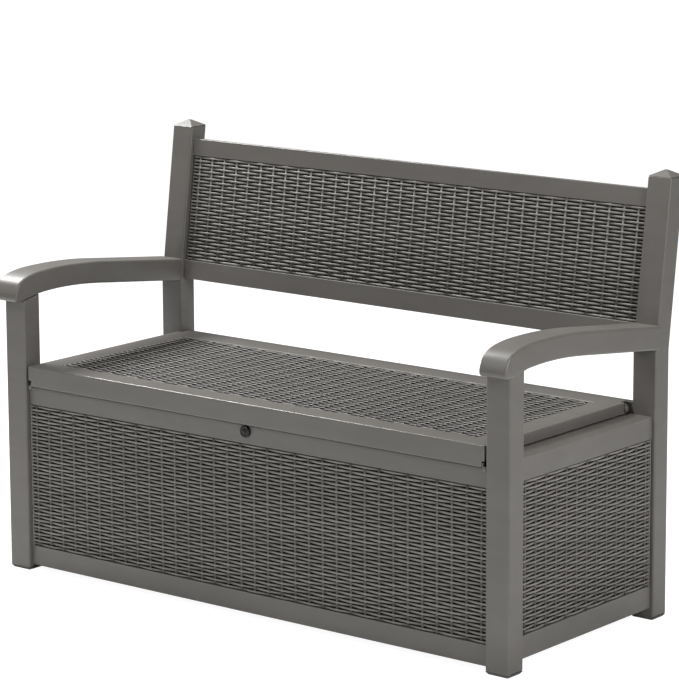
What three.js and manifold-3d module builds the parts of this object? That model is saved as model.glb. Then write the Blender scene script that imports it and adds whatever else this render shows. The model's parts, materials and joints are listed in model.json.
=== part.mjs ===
// Storage bench in moulded resin: four posts, woven-look panels round a storage box, a hinged seat
// lid, a leaning backrest, two arched armrests and a cam lock. Millimetres, +X to the right seen from
// the front, +Y to the back, +Z up. It is drawn from the front posts' front faces, y = 0, and the
// finished group is centred on its own footprint.
import * as THREE from 'three';
import { mergeVertices } from 'three/addons/utils/BufferGeometryUtils.js';
import Module from 'manifold-3d';

const wasm = await Module();
wasm.setup();

// ------------------------------------------------------------------ driving dimensions
const overallWidth = 1320; // across the outer faces of the posts
const baseDepth = 546; // front face of the front posts to back face of the rear posts
const seatHeight = 448; // top of the lid
const postTop = 900; // top of the rear posts, under their caps
const touch = 0.3; // gap between pieces that touch

const postWidth = 56;
const postDepth = 48;
const postWall = 4;
const postEdge = 4; // rounding of the posts' long edges
const kneeRise = 106; // seat to the height where the rear posts start to lean
const lean = THREE.MathUtils.degToRad(7.7);

const footHeight = 6;
const footChamfer = 5;
const plugHeight = 18; // part of a foot, cap or arm that slips into a hollow post
const capHeight = 12;

const armFront = 25; // how far the arm's nose stands in front of the post
const armProud = 8; // how far the arm stands out past the post's outer face
const armEdge = 5; // rounding of the arm's long edges
const armRise = 200; // seat to the arm's highest stretch
const armThickness = 49;
const armNoseDepth = 59; // the nose, from the crown down to its lower edge
const armFall = 0.1235; // slope of the arm's straight rear stretch
const armStraight = 208; // length of that stretch, in front of the rear post
const armWall = 4.5;
const armBossHalf = 10; // half width of the boss that takes the arm's screw

const panelWall = 3.5;
const weaveRecess = 5; // depth of the woven fields below their rails
const frontRecess = 10.5; // front panel's face behind the posts' front face
const sideRecess = 7.5; // side and back panels' faces inside the posts' outer faces
const endPlateStep = 12; // how much shallower the panels' end plates are than the posts
const ribDepth = 18;
const ribWidth = 3;
const ribPitch = 75;

const frontBottom = 12;
const sideBottom = 26;
const lipGap = 2; // lid's lip to the front panel's top
const skirtGap = 2.5; // lid's skirt to the side panels' top
const backDrop = 8; // lid's top to the back panel's top
const frontRails = [43, 39]; // plain rails under and over the woven field
const sideRails = [47, 45.5];
const ledgeWidth = 62; // flat top of the side panels
const floorTop = 36;
const floorThickness = 5.5;

const lidFront = 3; // lid's front face behind the posts' front face
const lidTail = 9; // lid's rear edge behind the rear posts' front face
const lidTailInset = 12; // lid's sides step in by this behind the hinge
const lidSideGap = 5.5; // lid's side to the post beside it
const lidWall = 4;
const lipHeight = 43; // depth of the lid's front lip
const skirtHeight = 23; // depth of the lid's side skirts
const lidBorder = [54, 52, 62]; // plain border at the front, sides and rear of the woven field
const lidRecess = 4;
const linerDrop = 14; // thickness of the ribbed liner under the lid

const hingeInset = 24; // hinge axis in front of the lid's rear edge
const rodRadius = 4;
const hingeClearance = 0.5; // radial, round the rod
const knuckleWall = 5; // material round the rod in the knuckles
const eyeWall = 6.5; // the same in the lid's two end eyes
const rodCapWall = 3;
const rodCapLength = 3.9;
const knuckleWidth = 32;
const earWidth = 12;
const knuckleCount = 5;
const knuckleInset = 118.5; // outermost knuckle's centre to the lid's side
const troughGap = 30; // hinge axis to the trough wall behind it
const shelfDrop = 29; // hinge axis to the shelf's top
const shelfFront = 17; // shelf in front of the hinge axis

const lockDrop = 12.5; // front panel's top to the lock's axis
const lockHeadRadius = 12.5;
const barrelRadius = 9;
const barrelLength = 20.5;
const plugRadius = 6;
const nutRadius = 13;
const camGap = 5.2; // cam's tip to the lid's liner above it
const camWidth = 12;
const camThickness = 2;
const strikePlay = 1.5; // cam to the catch below it when locked

const backrestRise = 117; // seat to the backrest's bottom edge
const backrestDrop = 25; // post tops to the backrest's top edge
const backrestRails = [42, 37]; // bottom and top rail
const backrestRecess = 9.5; // its faces behind the posts' front face
const backrestThickness = 28;

const screwHead = { radius: 4.5, height: 2.6 };
const screwRadius = 2;
const screwClearance = 0.35;
const panelScrewInset = [44, 63]; // above the floor panel's top, below the front panel's top

// ------------------------------------------------------------------ derived places
const outerX = overallWidth / 2;
const innerX = outerX - postWidth; // inner face of every post
const rearFront = baseDepth - postDepth; // front face of the rear posts
const kneeHeight = seatHeight + kneeRise;
const armCrown = seatHeight + armRise;
const backrestLow = seatHeight + backrestRise;
const backrestHigh = postTop - backrestDrop;

const lidRear = rearFront + lidTail;
const lidHalf = innerX - lidSideGap;
const lidUnder = seatHeight - lidWall;
const linerTop = lidUnder - lidRecess - touch;
const knuckleRadius = rodRadius + knuckleWall;
const hinge = { y: lidRear - hingeInset, z: lidUnder - knuckleRadius - 1 };
const outermostKnuckle = lidHalf - knuckleInset;
const knuckleCentres = Array.from({ length: knuckleCount },
  (_, i) => outermostKnuckle * ((2 * i) / (knuckleCount - 1) - 1));

const frontTop = seatHeight - lipHeight - lipGap;
const sideTop = seatHeight - skirtHeight - skirtGap;
const backTop = seatHeight - backDrop;
const frontWeave = [frontBottom + frontRails[0], frontTop - frontRails[1]];
const sideWeave = [sideBottom + sideRails[0], sideTop - sideRails[1]];
const lockHeight = frontTop - lockDrop;
const camLength = linerTop - linerDrop - camGap - lockHeight;
const panelScrewHeights = [floorTop + panelScrewInset[0], frontTop - panelScrewInset[1]];
const endPlateDepth = postDepth - endPlateStep;
const panelScrewDepth = postDepth / 2; // screw line behind a panel's face

const leanShift = (z) => Math.max(0, z - kneeHeight) * Math.tan(lean);
const rearmost = baseDepth + leanShift(postTop);
const middleY = (rearmost - armFront) / 2;
const sideFace = outerX - sideRecess;
const backFace = baseDepth - sideRecess;

// ------------------------------------------------------------------ materials
const finish = (color, roughness, metalness = 0) =>
  new THREE.MeshStandardMaterial({ color, roughness, metalness });
const resin = finish(0x746f69, 0.45);
const linerResin = finish(0x35322f, 0.55);
const footResin = finish(0x3c3936, 0.6);
const steel = finish(0x9a9a98, 0.35, 1);
const blackMetal = finish(0x161616, 0.3, 0.6);

// ------------------------------------------------------------------ shape helpers
const axisX = new THREE.Vector3(1, 0, 0);
const axisY = new THREE.Vector3(0, 1, 0);
const axisZ = new THREE.Vector3(0, 0, 1);
const sectionAcrossX = new THREE.Matrix4().makeBasis(axisY, axisZ, axisX);
const sectionAcrossY = new THREE.Matrix4().makeBasis(axisX, axisZ, axisY.clone().negate());

// Local frame of the leaning stretch: z along the rear post, y from its front face to its back.
const leaningFrame = new THREE.Matrix4()
  .makeTranslation(0, rearFront, kneeHeight)
  .multiply(new THREE.Matrix4().makeRotationX(-lean));
const leaned = (geometry) => geometry.applyMatrix4(leaningFrame);
const leaningPostDepth = postDepth * Math.cos(lean);
const alongLean = (z) => (z - kneeHeight) / Math.cos(lean);

function solid(geometry) {
  geometry.deleteAttribute('normal');
  geometry.deleteAttribute('uv');
  const welded = mergeVertices(geometry, 1e-4);
  return new wasm.Manifold(new wasm.Mesh({
    numProp: 3,
    vertProperties: new Float32Array(welded.attributes.position.array),
    triVerts: new Uint32Array(welded.index.array),
  }));
}

// A block between low and high limits, each given as a pair.
function block(x, y, z) {
  const geometry = new THREE.BoxGeometry(x[1] - x[0], y[1] - y[0], z[1] - z[0]);
  return geometry.translate((x[0] + x[1]) / 2, (y[0] + y[1]) / 2, (z[0] + z[1]) / 2);
}

function rod(axis, radius, span, centre, sides = 16) {
  const geometry = new THREE.CylinderGeometry(radius, radius, span[1] - span[0], sides);
  const middle = (span[0] + span[1]) / 2;
  if (axis === 'x') return geometry.rotateZ(Math.PI / 2).translate(middle, centre[0], centre[1]);
  return geometry.translate(centre[0], middle, centre[1]);
}

function polygon(points) {
  return new THREE.Shape(points.map(([u, v]) => new THREE.Vector2(u, v)));
}

// Extrudes a section along X or Y; edge rounds the long edges without growing the outline.
function extruded(shape, span, edge = 0, matrix = sectionAcrossX) {
  const geometry = new THREE.ExtrudeGeometry(shape, {
    depth: span[1] - span[0] - 2 * edge,
    bevelEnabled: edge > 0,
    bevelSize: edge,
    bevelThickness: edge,
    bevelOffset: -edge,
    bevelSegments: 3,
    curveSegments: 8,
  });
  return geometry.translate(0, 0, span[0] + edge).applyMatrix4(matrix);
}

// Four-sided frustum standing on z = 0.
function frustum(low, high, height) {
  const geometry = new THREE.CylinderGeometry(Math.SQRT1_2, Math.SQRT1_2, height, 4);
  geometry.rotateY(Math.PI / 4).rotateX(Math.PI / 2).translate(0, 0, height / 2);
  const points = geometry.attributes.position;
  for (let i = 0; i < points.count; i += 1) {
    const [width, depth] = points.getZ(i) > height / 2 ? high : low;
    points.setX(i, points.getX(i) * width);
    points.setY(i, points.getY(i) * depth);
  }
  return geometry;
}

const sum = (parts) => parts.reduce((a, b) => a.add(b));
const side = (sign, low, high) => (sign > 0 ? [low, high] : [-high, -low]);
const grown = ([low, high], by) => [low - by, high + by];

const bench = new THREE.Group();

function piece(name, body, material, parent = bench) {
  const { vertProperties, triVerts } = body.getMesh();
  const geometry = new THREE.BufferGeometry();
  geometry.setAttribute('position', new THREE.BufferAttribute(vertProperties, 3));
  geometry.setIndex(new THREE.BufferAttribute(triVerts, 1));
  geometry.computeVertexNormals();
  const mesh = new THREE.Mesh(geometry, material);
  mesh.name = name;
  parent.add(mesh);
  return mesh;
}

// Pan-head screw: the head's underside is at the origin and the shank runs along -Y.
function screw(name, length, parent) {
  const { radius, height } = screwHead;
  const profile = [[0, -length], [screwRadius, -length], [screwRadius, 0], [radius, 0],
    [radius, height * 0.6], [radius * 0.6, height], [0, height]];
  const points = profile.map(([r, y]) => new THREE.Vector2(r, y));
  const mesh = new THREE.Mesh(new THREE.LatheGeometry(points, 8), steel);
  mesh.name = name;
  parent.add(mesh);
  return mesh;
}

// ------------------------------------------------------------------ base panels
// Every base panel is drawn face-on: x along its length, its outer face at y = 0, y into the box.
const panels = {
  front_panel: {
    length: 2 * (innerX - touch),
    bottom: frontBottom,
    top: frontTop,
    weave: frontWeave,
    flange: ribDepth,
    head: flangeHead,
    place: new THREE.Matrix4().makeTranslation(0, frontRecess, 0),
  },
  back_panel: {
    length: 2 * (innerX - touch),
    bottom: sideBottom,
    top: backTop,
    weave: sideWeave,
    head: troughHead,
    place: new THREE.Matrix4().makeTranslation(0, backFace, 0)
      .multiply(new THREE.Matrix4().makeRotationZ(Math.PI)),
  },
};
for (const [name, sign] of [['left_side_panel', -1], ['right_side_panel', 1]]) {
  panels[name] = {
    length: rearFront - postDepth - 2 * touch,
    bottom: sideBottom,
    top: sideTop,
    weave: sideWeave,
    flange: ledgeWidth,
    head: flangeHead,
    place: new THREE.Matrix4().makeTranslation(sign * sideFace, baseDepth / 2, 0)
      .multiply(new THREE.Matrix4().makeRotationZ(sign * Math.PI / 2)),
  };
}
const floorLedge = [floorTop - floorThickness - touch - panelWall, floorTop - floorThickness - touch];

// Section of a base panel as [y, z] points: outer face with its recessed field, then the inner
// side. The head is what the panel has along its top edge.
function panelSection({ bottom, weave }, head) {
  const t = panelWall;
  const r = weaveRecess;
  return polygon([[0, bottom], [0, weave[0]], [r, weave[0]], [r, weave[1]], [0, weave[1]],
    ...head, [t, weave[1] + t], [r + t, weave[1] + t], [r + t, weave[0] - t], [t, weave[0] - t],
    [t, floorLedge[1]], [ribDepth, floorLedge[1]], [ribDepth, floorLedge[0]], [t, floorLedge[0]],
    [t, bottom]]);
}

function flangeHead({ top, flange }) {
  return [[0, top], [flange, top], [flange, top - panelWall], [panelWall, top - panelWall]];
}

// The hinge trough behind the lid and the shelf that carries the hinge knuckles.
function troughHead({ top }) {
  const t = panelWall;
  const axis = backFace - hinge.y;
  const wall = axis - troughGap;
  const front = axis + shelfFront;
  const shelf = hinge.z - shelfDrop;
  return [[0, top], [wall, top], [wall, shelf], [front, shelf], [front, shelf - 40],
    [front - t, shelf - 40], [front - t, shelf - t], [wall - t, shelf - t], [wall - t, top - t],
    [t, top - t]];
}

// The stepped wall, its end plates and stiffening ribs. Ribs and plates stop short of the outer
// faces by a small step, as a moulding's inner webs do.
function panelBody(panel) {
  const { length, bottom, top, head } = panel;
  const half = length / 2;
  const t = panelWall;
  const step = 0.5;
  const parts = [
    extruded(panelSection(panel, head(panel)), [step - half, half - step]),
    block([-half, t - half], [step, endPlateDepth], [bottom + step, top - step]),
    block([half - t, half], [step, endPlateDepth], [bottom + step, top - step]),
  ];
  const ribs = Math.floor((half - ribPitch / 2) / ribPitch);
  for (let i = -ribs; i < ribs; i += 1) {
    const x = (i + 0.5) * ribPitch;
    parts.push(block([x - ribWidth / 2, x + ribWidth / 2], [weaveRecess + t / 2, ribDepth - step],
      [floorTop + touch, top - t / 2]));
  }
  return sum(parts.map(solid));
}

// Screw places of a panel, in its own frame: sign of the end, and height.
const screwPlaces = [-1, 1].flatMap((sign) => panelScrewHeights.map((z) => [sign, z]));

function screwHole(panel, [sign, z]) {
  const end = panel.length / 2;
  const span = side(sign, end - 2 * panelWall, end + 3 * postWall);
  return rod('x', screwRadius + screwClearance, span, [panelScrewDepth, z], 8);
}

// ------------------------------------------------------------------ posts, feet, caps
// Side outline of a post, drawn inset by a wall and ending at the given heights.
function rearPostOutline(inset, bottom, top) {
  const front = rearFront + inset;
  const back = baseDepth - inset;
  return polygon([[front, bottom], [back, bottom], [back, kneeHeight],
    [back + leanShift(top), top], [front + leanShift(top), top], [front, kneeHeight]]);
}

function frontPostOutline(inset, bottom, top) {
  return polygon([[inset, bottom], [postDepth - inset, bottom], [postDepth - inset, top], [inset, top]]);
}

function hollowPost(outline, sign, top) {
  const outer = extruded(outline(0, footHeight + touch, top), side(sign, innerX, outerX), postEdge);
  const span = side(sign, innerX + postWall, outerX - postWall);
  return solid(outer).subtract(solid(extruded(outline(postWall, -1, top + 20), span)));
}

function foot(name, sign, front) {
  const centreX = sign * (outerX - postWidth / 2);
  const centreY = front + postDepth / 2;
  const tip = [postWidth - 2 * footChamfer, postDepth - 2 * footChamfer];
  const base = frustum(tip, [postWidth, postDepth], footHeight).translate(centreX, centreY, 0);
  const inset = postWall + touch;
  const plug = block(side(sign, innerX + inset, outerX - inset),
    [front + inset, front + postDepth - inset], [footHeight / 2, footHeight + plugHeight]);
  piece(name, solid(base).add(solid(plug)), footResin);
}

function cap(name, sign) {
  const centreX = sign * (outerX - postWidth / 2);
  const lowZ = postTop + touch;
  const roof = frustum([postWidth, postDepth], [postWidth * 0.12, postDepth * 0.12], capHeight)
    .translate(centreX, rearFront + postDepth / 2 + leanShift(postTop), lowZ);
  const inset = postWall + touch;
  const plug = extruded(rearPostOutline(inset, kneeHeight, lowZ + 1),
    side(sign, innerX + inset, outerX - inset));
  const keep = block([-outerX, outerX], [0, 2 * baseDepth], [postTop - plugHeight, lowZ + capHeight]);
  piece(name, solid(roof).add(solid(plug).intersect(solid(keep))), resin);
}

// ------------------------------------------------------------------ armrests
// Side outline of an armrest; inset shrinks it for the hollow. It runs on into the rear post,
// where it is trimmed off.
function armOutline(inset) {
  const bend = rearFront - armStraight;
  const bendTop = armCrown - 13.5;
  const topAt = (y) => bendTop - (y - bend) * armFall - inset;
  const lowAt = (y) => bendTop - armThickness - (y - bend) * armFall + inset;
  const nose = -armFront + inset;
  const crown = armCrown - 1.5 - inset;
  const noseLow = armCrown - 1.5 - armNoseDepth + inset;
  const between = (from, to, share) => from + (to - from) * share;
  const crownEnd = postDepth + 12;
  const archEnd = bend - 60; // where the hollow under the arm meets the straight stretch
  const runOut = rearFront + postDepth;
  const shape = new THREE.Shape();
  shape.moveTo(runOut, lowAt(runOut));
  shape.lineTo(runOut, topAt(runOut));
  shape.lineTo(bend, topAt(bend));
  shape.bezierCurveTo(between(crownEnd, bend, 0.7), crown - 2.5,
    between(crownEnd, bend, 0.35), crown + 3.5, crownEnd, crown);
  shape.bezierCurveTo(crownEnd - 35, crown - 3, nose + 17, crown - 8, nose + 8, crown - 26);
  shape.bezierCurveTo(nose + 4, crown - 35, nose, crown - 43, nose, noseLow + 10);
  shape.bezierCurveTo(nose, noseLow + 4, nose + 3, noseLow, nose + 10, noseLow);
  shape.lineTo(0, noseLow);
  shape.lineTo(postDepth, noseLow + 9.5);
  shape.bezierCurveTo(between(postDepth, archEnd, 0.29), noseLow + 14.5,
    between(postDepth, archEnd, 0.64), noseLow + 13, archEnd, lowAt(archEnd));
  return shape;
}

const widerThanPost = (sign) => side(sign, innerX - 50, outerX + 50);

function armrest(name, sign) {
  const span = side(sign, innerX, outerX + armProud);
  const outer = solid(extruded(armOutline(0), span, armEdge));
  const hollow = solid(extruded(armOutline(armWall), grown(span, -armWall)));
  const bossMiddle = outerX - postWidth / 2;
  const bossX = side(sign, bossMiddle - armBossHalf, bossMiddle + armBossHalf);
  const boss = solid(leaned(block(bossX, [-28, 0], [-60, 120])));
  const inset = postWall + touch;
  const tenon = solid(block(side(sign, innerX + inset, outerX - inset),
    [inset, postDepth - inset], [armCrown - armNoseDepth - plugHeight, armCrown - 40]));
  const rearTrim = solid(extruded(rearPostOutline(-touch, 0, postTop), widerThanPost(sign)));
  const hole = solid(leaned(rod('y', screwRadius + screwClearance, [-24, 0],
    [sign * bossMiddle, armScrewHeight], 8)));
  const body = outer.subtract(hollow).add(boss.intersect(outer)).add(tenon);
  piece(name, body.subtract(rearTrim).subtract(hole), resin);
}
const armScrewHeight = alongLean(armCrown - 64);

// ------------------------------------------------------------------ screws through the leaning posts
const tabDepth = [16, 31]; // backrest's end tabs, behind the posts' front face
const tabReach = 24; // how far a tab enters its post
const tabHalf = 12;
const tabHeights = [alongLean(backrestLow) + backrestRails[0] / 2,
  alongLean(backrestHigh) - backrestRails[1] / 2];
const tabMiddle = innerX + tabReach / 2;
const armScrewLength = leaningPostDepth + 22;
const tabScrewLength = leaningPostDepth - tabDepth[0];

function leaningCuts(sign) {
  const radius = screwRadius + screwClearance;
  const armHole = rod('y', radius, [-1, leaningPostDepth + 1],
    [sign * (outerX - postWidth / 2), armScrewHeight], 8);
  const tabCuts = tabHeights.flatMap((z) => [
    block(side(sign, innerX - 1, innerX + tabReach + touch), grown(tabDepth, touch),
      grown([z - tabHalf, z + tabHalf], touch)),
    rod('y', radius, [tabDepth[0], leaningPostDepth + 1], [sign * tabMiddle, z], 8),
  ]);
  return sum([armHole, ...tabCuts].map((geometry) => solid(leaned(geometry))));
}

// ------------------------------------------------------------------ building the base
const postHoles = sum(Object.values(panels).flatMap((panel) =>
  screwPlaces.map((place) => solid(screwHole(panel, place).applyMatrix4(panel.place)))));
const sides = [['left', -1], ['right', 1]];

for (const [hand, sign] of sides) {
  const underArm = solid(extruded(armOutline(0), widerThanPost(sign)).translate(0, 0, -touch));
  const frontPost = hollowPost(frontPostOutline, sign, armCrown - 25).subtract(underArm);
  piece(`front_${hand}_post`, frontPost.subtract(postHoles), resin);
  const rearPost = hollowPost(rearPostOutline, sign, postTop).subtract(postHoles);
  piece(`rear_${hand}_post`, rearPost.subtract(leaningCuts(sign)), resin);
  cap(`rear_${hand}_post_cap`, sign);
  foot(`front_${hand}_foot`, sign, 0);
  foot(`rear_${hand}_foot`, sign, rearFront);
  armrest(`${hand}_armrest`, sign);
}

// Front panel extras: tabs that line the lid up, a lug under each lid corner, the lock's hole.
const lugOuter = lidHalf + 3;
const lugInner = lidHalf - 6;
function frontPanelBody(body) {
  const tabHalfLength = 67;
  const tabSpacing = 0.23 * panels.front_panel.length;
  const tabRise = 10;
  const tabs = [-1.5, -0.5, 0.5, 1.5].map((step) => {
    const centre = step * tabSpacing;
    return block([centre - tabHalfLength, centre + tabHalfLength], [4, ribDepth - 1],
      [frontTop - panelWall / 2, frontTop + tabRise]);
  });
  const lugs = sides.map(([, sign]) => {
    const outline = [[lugInner, -6], [lugOuter, -6], [lugOuter, 3], [lugInner + 2.4, 3],
      [lugInner + 2.4, 11], [lugInner, 11]];
    const shape = polygon(outline.map(([x, z]) => [sign * x, frontTop + z]));
    return extruded(shape, [-panelWall / 2, 6], 0, sectionAcrossY);
  });
  const lockHole = rod('y', barrelRadius + touch, [-1, panelWall + 1], [0, lockHeight]);
  const room = nutRadius + 3;
  const nutRoom = block([-room, room], [panelWall, ribDepth + 1], [lockHeight - room, frontTop + 1]);
  return sum([body, ...tabs.map(solid), ...lugs.map(solid)])
    .subtract(solid(lockHole)).subtract(solid(nutRoom));
}

// Back panel extras: the knuckles that hold the hinge rod.
function backPanelBody(body) {
  const axis = backFace - hinge.y;
  const knuckles = knuckleCentres.flatMap((centre) => {
    const span = [centre - knuckleWidth / 2, centre + knuckleWidth / 2];
    return [
      rod('x', knuckleRadius, span, [axis, hinge.z]),
      block(grown(span, -0.5), [axis - 6, axis + 6], [hinge.z - shelfDrop - panelWall / 2, hinge.z]),
    ];
  });
  const bore = rod('x', rodRadius + hingeClearance, [-innerX, innerX], [axis, hinge.z]);
  return sum([body, ...knuckles.map(solid)]).subtract(solid(bore));
}

// Side panels: a lip under the ledge's inner edge, and a corner cut for the lid's rear strip.
function sidePanelBody(body, sign, length) {
  const lipInset = [12, 60]; // lip's ends inside the panel's front and rear ends
  const lipDrop = 36;
  const lip = block(side(sign, lipInset[0] - length / 2, length / 2 - lipInset[1]),
    [ledgeWidth - panelWall, ledgeWidth], [sideTop - lipDrop, sideTop - panelWall / 2]);
  const cornerLength = 18;
  const corner = block(side(sign, length / 2 - cornerLength, length / 2 + 1),
    [sideFace - (lidHalf + 2), ledgeWidth + 1], [sideTop - 10, sideTop + 1]);
  return body.add(solid(lip)).subtract(solid(corner));
}

for (const [name, panel] of Object.entries(panels)) {
  const group = new THREE.Group();
  group.applyMatrix4(panel.place);
  bench.add(group);
  let body = panelBody(panel);
  if (name === 'front_panel') body = frontPanelBody(body);
  if (name === 'back_panel') body = backPanelBody(body);
  if (name === 'left_side_panel') body = sidePanelBody(body, -1, panel.length);
  if (name === 'right_side_panel') body = sidePanelBody(body, 1, panel.length);
  const holes = sum(screwPlaces.map((place) => solid(screwHole(panel, place))));
  piece(name, body.subtract(holes), resin, group);
  for (const [sign, z] of screwPlaces) {
    const level = z === panelScrewHeights[0] ? 'lower' : 'upper';
    const end = sign < 0 ? 'a' : 'b';
    const mesh = screw(`${name}_screw_${level}_${end}`, panelWall + touch + postWall + 6, group);
    mesh.position.set(sign * (panel.length / 2 - panelWall - touch), panelScrewDepth, z);
    mesh.rotation.z = sign * Math.PI / 2;
  }
}

function floorPanel() {
  const x = [sideFace - weaveRecess - panelWall - touch, innerX - panelWall - 2 * touch];
  const y = [frontRecess + weaveRecess + panelWall + touch, postDepth + panelWall + 2 * touch];
  const yBack = [backFace - weaveRecess - panelWall - touch, rearFront - panelWall - 2 * touch];
  const outline = polygon([[-x[1], y[0]], [x[1], y[0]], [x[1], y[1]], [x[0], y[1]], [x[0], yBack[1]],
    [x[1], yBack[1]], [x[1], yBack[0]], [-x[1], yBack[0]], [-x[1], yBack[1]], [-x[0], yBack[1]],
    [-x[0], y[1]], [-x[1], y[1]]]);
  const sheet = new THREE.ExtrudeGeometry(outline, { depth: floorThickness, bevelEnabled: false });
  return solid(sheet.translate(0, 0, floorTop - floorThickness));
}
piece('floor_panel', floorPanel(), resin);

// ------------------------------------------------------------------ backrest
const leaning = new THREE.Group();
leaning.applyMatrix4(leaningFrame);
bench.add(leaning);

function backrestBody() {
  const low = alongLean(backrestLow);
  const high = alongLean(backrestHigh);
  const field = [low + backrestRails[0], high - backrestRails[1]];
  const face = [backrestRecess, backrestRecess + backrestThickness];
  const r = weaveRecess;
  const t = panelWall;
  const outline = (inset) => [
    [face[0] + inset, low + inset], [face[1] - inset, low + inset],
    [face[1] - inset, field[0] - inset], [face[1] - r - inset, field[0] - inset],
    [face[1] - r - inset, field[1] + inset], [face[1] - inset, field[1] + inset],
    [face[1] - inset, high - inset], [face[0] + inset, high - inset],
    [face[0] + inset, field[1] + inset], [face[0] + r + inset, field[1] + inset],
    [face[0] + r + inset, field[0] - inset], [face[0] + inset, field[0] - inset]];
  const shape = polygon(outline(0));
  shape.holes.push(polygon(outline(t)));
  const half = innerX - touch;
  const shell = solid(extruded(shape, [-half, half]));
  const tabs = sides.flatMap(([, sign]) => tabHeights.map((z) =>
    solid(block(side(sign, innerX - 30, innerX + tabReach), tabDepth, [z - tabHalf, z + tabHalf]))));
  const webs = sides.flatMap(([, sign]) => tabHeights.map((z) =>
    solid(block(side(sign, innerX - 30, innerX - 20), grown(face, -t / 2), [z - tabHalf, z + tabHalf]))));
  const holes = sides.flatMap(([, sign]) => tabHeights.map((z) =>
    solid(rod('y', screwRadius + screwClearance, [0, 60], [sign * tabMiddle, z], 8))));
  return sum([shell, ...tabs, ...webs]).subtract(sum(holes));
}
piece('backrest_panel', backrestBody(), resin, leaning);

for (const [hand, sign] of sides) {
  const rearFace = leaningPostDepth + touch;
  const armScrew = screw(`${hand}_armrest_screw`, armScrewLength, leaning);
  armScrew.position.set(sign * (outerX - postWidth / 2), rearFace, armScrewHeight);
  for (const [i, level] of ['lower', 'upper'].entries()) {
    const tabScrew = screw(`backrest_screw_${level}_${hand}`, tabScrewLength, leaning);
    tabScrew.position.set(sign * tabMiddle, rearFace, tabHeights[i]);
  }
}

// ------------------------------------------------------------------ places of the lock and its catch
const lockFace = frontRecess; // front panel's outer face
const headSpan = [lockFace - 6, lockFace - touch];
const barrelEnd = lockFace + barrelLength;
const camSpan = [barrelEnd + 2 * touch, barrelEnd + 2 * touch + camThickness];
const lockCentre = [0, lockHeight];
const camScrewRadius = 2;
const catchX = [12, 34];
const hookTop = lockHeight - camWidth / 2 - strikePlay;
const webFront = camSpan[1] + 6;
const footSpan = [lidUnder - touch - 2, lidUnder - touch];
const catchFoot = 12.5; // depth of the catch's foot
const catchScrewY = webFront + 7.2;
const catchScrews = [['inner', catchX[0] + 5], ['outer', catchX[1] - 5]];

function catchScrewHole(x) {
  const radius = screwRadius + screwClearance;
  return new THREE.CylinderGeometry(radius, radius, 8, 8)
    .rotateX(Math.PI / 2).translate(x, catchScrewY, lidUnder - 2);
}

// ------------------------------------------------------------------ lid
const field = {
  x: lidHalf - lidBorder[1],
  y: [lidFront + lidBorder[0], lidRear - lidBorder[2]],
};

function lidShell() {
  const t = lidWall;
  const lipWall = t + 0.5;
  const stripHalf = lidHalf - lidTailInset;
  const skirtEnd = hinge.y - 4;
  const lipBottom = seatHeight - lipHeight;
  const low = lipBottom - 1;
  const skirtBottom = seatHeight - skirtHeight;
  const everyX = [-outerX, outerX];
  const outline = polygon([[-lidHalf, lidFront], [lidHalf, lidFront], [lidHalf, skirtEnd],
    [stripHalf, skirtEnd], [stripHalf, lidRear], [-stripHalf, lidRear], [-stripHalf, skirtEnd],
    [-lidHalf, skirtEnd]]);
  const blank = new THREE.ExtrudeGeometry(outline, { depth: lipHeight, bevelEnabled: false });

  const hollow = [lidHalf - t, lidFront + lipWall];
  const pocket = polygon([[-hollow[0], hollow[1]], [hollow[0], hollow[1]],
    [hollow[0], skirtEnd + 1], [-hollow[0], skirtEnd + 1]]);
  const step = { x: field.x + t, y: grown(field.y, t) };
  pocket.holes.push(polygon([[-step.x, step.y[0]], [step.x, step.y[0]], [step.x, step.y[1]],
    [-step.x, step.y[1]]]));
  const underBorder = new THREE.ExtrudeGeometry(pocket, { depth: lidUnder - low, bevelEnabled: false });
  const cuts = [
    underBorder.translate(0, 0, low),
    block([-step.x - 1, step.x + 1], grown(step.y, 1), [low, lidUnder - lidRecess]),
    block(everyX, [lidFront + lipWall, lidRear + 1], [low, skirtBottom]),
    block(everyX, [skirtEnd, lidRear + 1], [low, lidUnder]),
    block([-field.x, field.x], field.y, [seatHeight - lidRecess, seatHeight + 1]),
    ...catchScrews.map(([, x]) => catchScrewHole(x)),
    ...sides.map(([, sign]) => block(side(sign, lugInner - 1, lidHalf + 1),
      [lidFront - 1, lidFront + 13], [low, frontTop + 14])),
  ];
  const eyes = sides.map(([, sign]) =>
    rod('x', rodRadius + eyeWall, side(sign, lidHalf - t + touch, lidHalf - touch), [hinge.y, hinge.z]));
  const ears = knuckleCentres.flatMap((centre) => [-1, 1].flatMap((sign) => {
    const near = knuckleWidth / 2 + 1;
    const span = side(sign, near, near + earWidth).map((x) => x + centre);
    return [
      rod('x', knuckleRadius, span, [hinge.y, hinge.z]),
      block(grown(span, -touch), [hinge.y - 8.5, hinge.y + 6], [hinge.z, lidUnder + 1]),
    ];
  }));
  const bore = rod('x', rodRadius + hingeClearance, everyX, [hinge.y, hinge.z]);
  return sum([solid(blank.translate(0, 0, lipBottom)).subtract(sum(cuts.map(solid))),
    ...[...eyes, ...ears].map(solid)]).subtract(solid(bore));
}

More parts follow.
